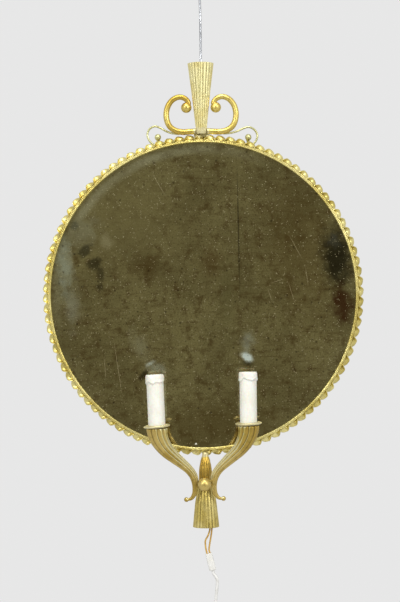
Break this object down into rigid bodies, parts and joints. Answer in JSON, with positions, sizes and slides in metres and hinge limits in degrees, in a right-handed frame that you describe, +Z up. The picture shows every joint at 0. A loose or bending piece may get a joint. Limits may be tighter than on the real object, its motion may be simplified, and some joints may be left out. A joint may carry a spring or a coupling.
{
  "type": "girandole mirror",
  "caption": "Round wall mirror in an aged brass hoop with a twisted edge, a fluted crest with scrolls and two horn arms that carry electric candles.",
  "frame": {"origin": "on the wall plane behind the middle of the glass, on the strap's rear face", "axes": "+Y into the wall, so the front faces -Y; +Z up; +X to the right as one faces the mirror"},
  "size_m": [0.522, 0.0966, 1.1533],
  "materials": {
    "brass": "aged, satin, greenish in the hollows",
    "pale_brass": "aged, pale, satin",
    "gold_brass": "aged, warm, satin",
    "dull_brass": "dull greenish patina",
    "mirror_glass": "aged silvering with specks and clouds",
    "board": "raw hardboard",
    "steel": "satin",
    "dark_steel": "dark lacquered, matt",
    "candle": "off-white card tube with wax drips",
    "porcelain": "cream, satin",
    "lead": "yellowish clear sheath",
    "white_plastic": "white",
    "white_flex": "white sheath, semi-gloss"
  },
  "bodies": {
    "frame": {"rim_ring": "brass", "twisted_trim": "brass", "mirror_plate": "mirror_glass", "backing_board": "board", "clip_screw_1": "steel", "clip_screw_2": "steel", "clip_screw_3": "steel", "clip_screw_4": "steel", "back_strap": "dull_brass", "strap_screw_top": "steel", "strap_screw_bottom": "steel", "foot_screw": "steel", "column_screw": "steel", "hanging_pin": "steel", "crest_column": "pale_brass", "crest_foot": "pale_brass", "scroll_left": "gold_brass", "scroll_right": "gold_brass", "tendril_left": "dull_brass", "tendril_right": "dull_brass", "tassel_skirt": "brass", "tassel_bud": "gold_brass", "outlet_plate": "dark_steel", "centre_stud": "steel", "stud_spacer": "steel", "arm_collar": "brass", "centre_ball": "brass", "lead_left": "lead", "lead_right": "lead", "connector_block": "white_plastic", "flex": "white_flex", "flex_coil": "white_flex", "coil_tie": "white_plastic", "plug_body": "white_plastic", "plug_pin_1": "steel", "plug_pin_2": "steel"},
    "rod": {"hanging_rod": "steel"},
    "clip_1": {"turn_clip_1": "dark_steel"},
    "clip_2": {"turn_clip_2": "dark_steel"},
    "clip_3": {"turn_clip_3": "dark_steel"},
    "clip_4": {"turn_clip_4": "dark_steel"},
    "arm_left": {"arm_left": "brass", "arm_eye_left": "brass", "arm_wire_left": "lead", "drip_plate_left": "gold_brass", "nipple_left": "steel", "lampholder_left": "porcelain", "screw_shell_left": "brass", "centre_contact_left": "brass"},
    "sleeve_left": {"candle_sleeve_left": "candle"},
    "arm_right": {"arm_right": "brass", "arm_eye_right": "brass", "arm_wire_right": "lead", "drip_plate_right": "gold_brass", "nipple_right": "steel", "lampholder_right": "porcelain", "screw_shell_right": "brass", "centre_contact_right": "brass"},
    "sleeve_right": {"candle_sleeve_right": "candle"}
  },
  "joints": [
    {"name": "rod_swing", "type": "hinge", "parent": "frame", "child": "rod", "pos_m": [0, -0.0092, 0.345], "axis": [0, 1, 0], "range_deg": [-20, 20]},
    {"name": "clip_turn_1", "type": "hinge", "parent": "frame", "child": "clip_1", "pos_m": [0.17915, -0.003, 0.17915], "axis": [0, 1, 0], "range_deg": [-110, 110]},
    {"name": "clip_turn_2", "type": "hinge", "parent": "frame", "child": "clip_2", "pos_m": [-0.17915, -0.003, 0.17915], "axis": [0, 1, 0], "range_deg": [-110, 110]},
    {"name": "clip_turn_3", "type": "hinge", "parent": "frame", "child": "clip_3", "pos_m": [-0.17915, -0.003, -0.17915], "axis": [0, 1, 0], "range_deg": [-110, 110]},
    {"name": "clip_turn_4", "type": "hinge", "parent": "frame", "child": "clip_4", "pos_m": [0.17915, -0.003, -0.17915], "axis": [0, 1, 0], "range_deg": [-110, 110]},
    {"name": "arm_turn_left", "type": "hinge", "parent": "frame", "child": "arm_left", "pos_m": [-0.0018, -0.04, -0.3039], "axis": [0, 1, 0], "range_deg": [-2.5, 2.5]},
    {"name": "sleeve_lift_left", "type": "slide", "parent": "arm_left", "child": "sleeve_left", "axis": [-0.0349, 0, 0.9994], "range_m": [0, 0.09]},
    {"name": "arm_turn_right", "type": "hinge", "parent": "frame", "child": "arm_right", "pos_m": [-0.0018, -0.04, -0.3039], "axis": [0, 1, 0], "range_deg": [-2.5, 2.5]},
    {"name": "sleeve_lift_right", "type": "slide", "parent": "arm_right", "child": "sleeve_right", "axis": [0, 0, 1], "range_m": [0, 0.09]}
  ]
}
